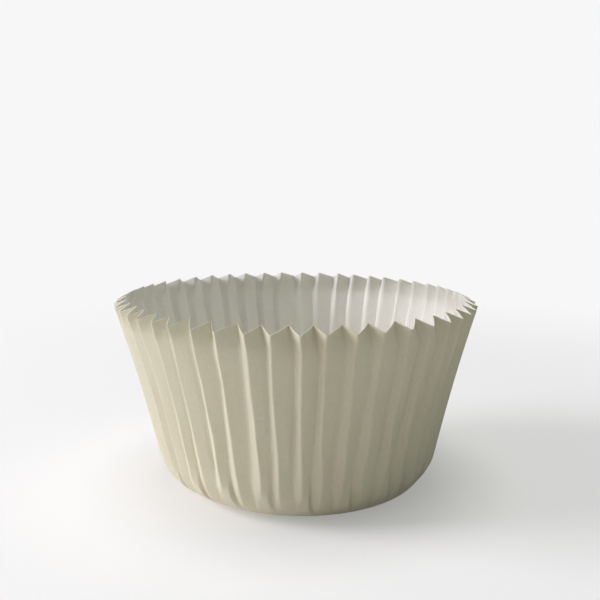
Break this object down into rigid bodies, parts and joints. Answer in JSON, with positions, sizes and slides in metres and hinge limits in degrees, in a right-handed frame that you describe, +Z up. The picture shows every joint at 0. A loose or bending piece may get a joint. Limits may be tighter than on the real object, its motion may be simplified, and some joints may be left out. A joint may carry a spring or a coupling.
{
  "type": "mini cupcake liner",
  "caption": "Round paper baking cup pressed from one sheet: pleated wall that opens towards a zigzag rim, rounded foot and flat base.",
  "frame": {"origin": "centre of the rim's outline, at the height of the base's underside", "axes": "+Z up through the open mouth, -Y towards the front"},
  "size_m": [0.046, 0.046, 0.0245],
  "materials": {
    "ivory_paper": "satin greaseproof paper, ivory outside and a little whiter inside"
  },
  "bodies": {
    "root": {"liner": "ivory_paper"}
  },
  "joints": []
}
